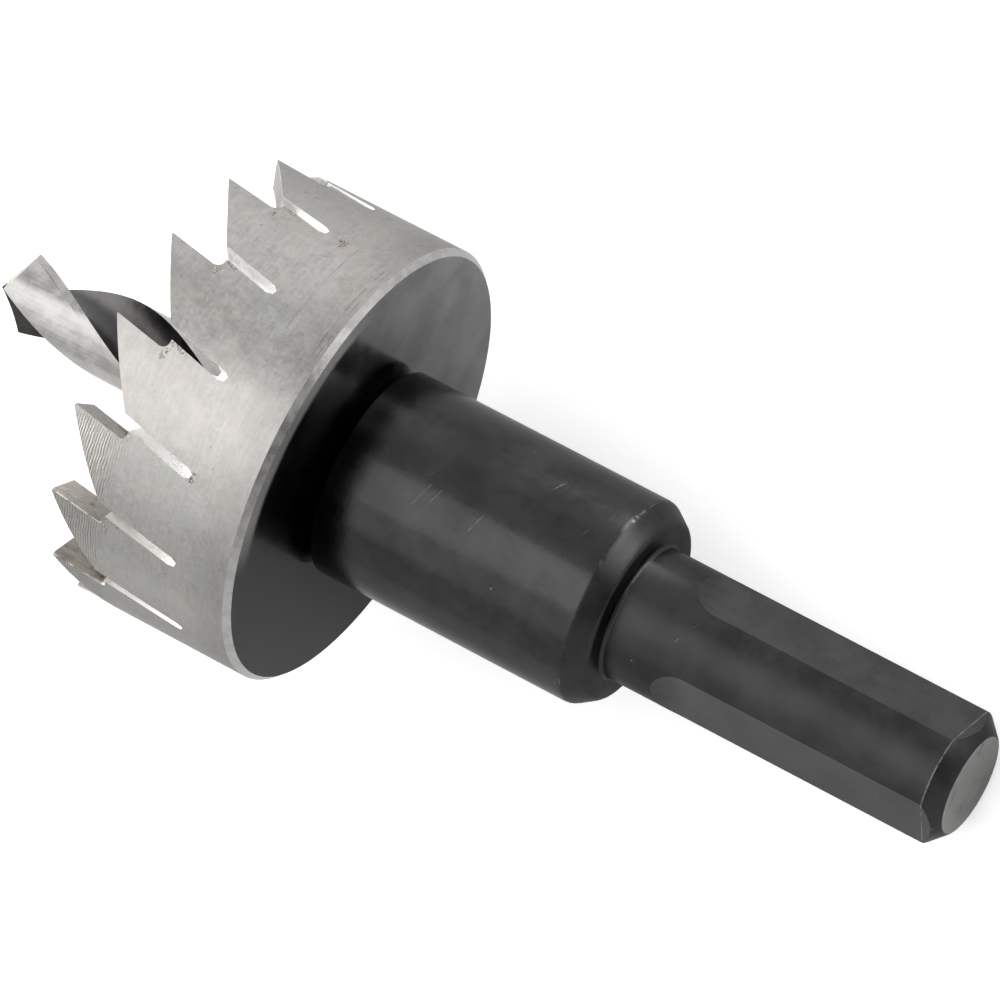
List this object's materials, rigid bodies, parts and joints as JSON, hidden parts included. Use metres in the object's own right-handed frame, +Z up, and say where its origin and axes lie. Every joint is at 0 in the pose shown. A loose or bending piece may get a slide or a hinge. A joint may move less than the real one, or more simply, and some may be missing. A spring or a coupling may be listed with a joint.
{
  "type": "hole saw",
  "caption": "Toothed steel cup saw on a stepped arbor with a three-flat shank and a twist drill pilot, for cutting round holes in sheet metal.",
  "frame": {"origin": "on the ground, at the middle of the tool's bounding box, as it lies at rest on the cup's rear rim and the end of one flat of the shank", "axes": "+X towards the shank, along the ground under the tool's axis, which dips 14.08 degrees towards the shank's end; +Z up"},
  "size_m": [0.0786, 0.0334, 0.0357],
  "materials": {
    "ground_steel": "high-speed steel, ground and tumbled to a satin grey on the wall, dark on the back",
    "black_oxide_steel": "turned steel with a satin black oxide, worn bright at edges",
    "drill_steel": "bright ground high-speed steel with dark flutes",
    "screw_steel": "black hardened steel"
  },
  "bodies": {
    "root": {"saw_cup": "ground_steel", "arbor": "black_oxide_steel", "pilot_drill": "drill_steel", "grub_screw": "screw_steel"}
  },
  "joints": []
}
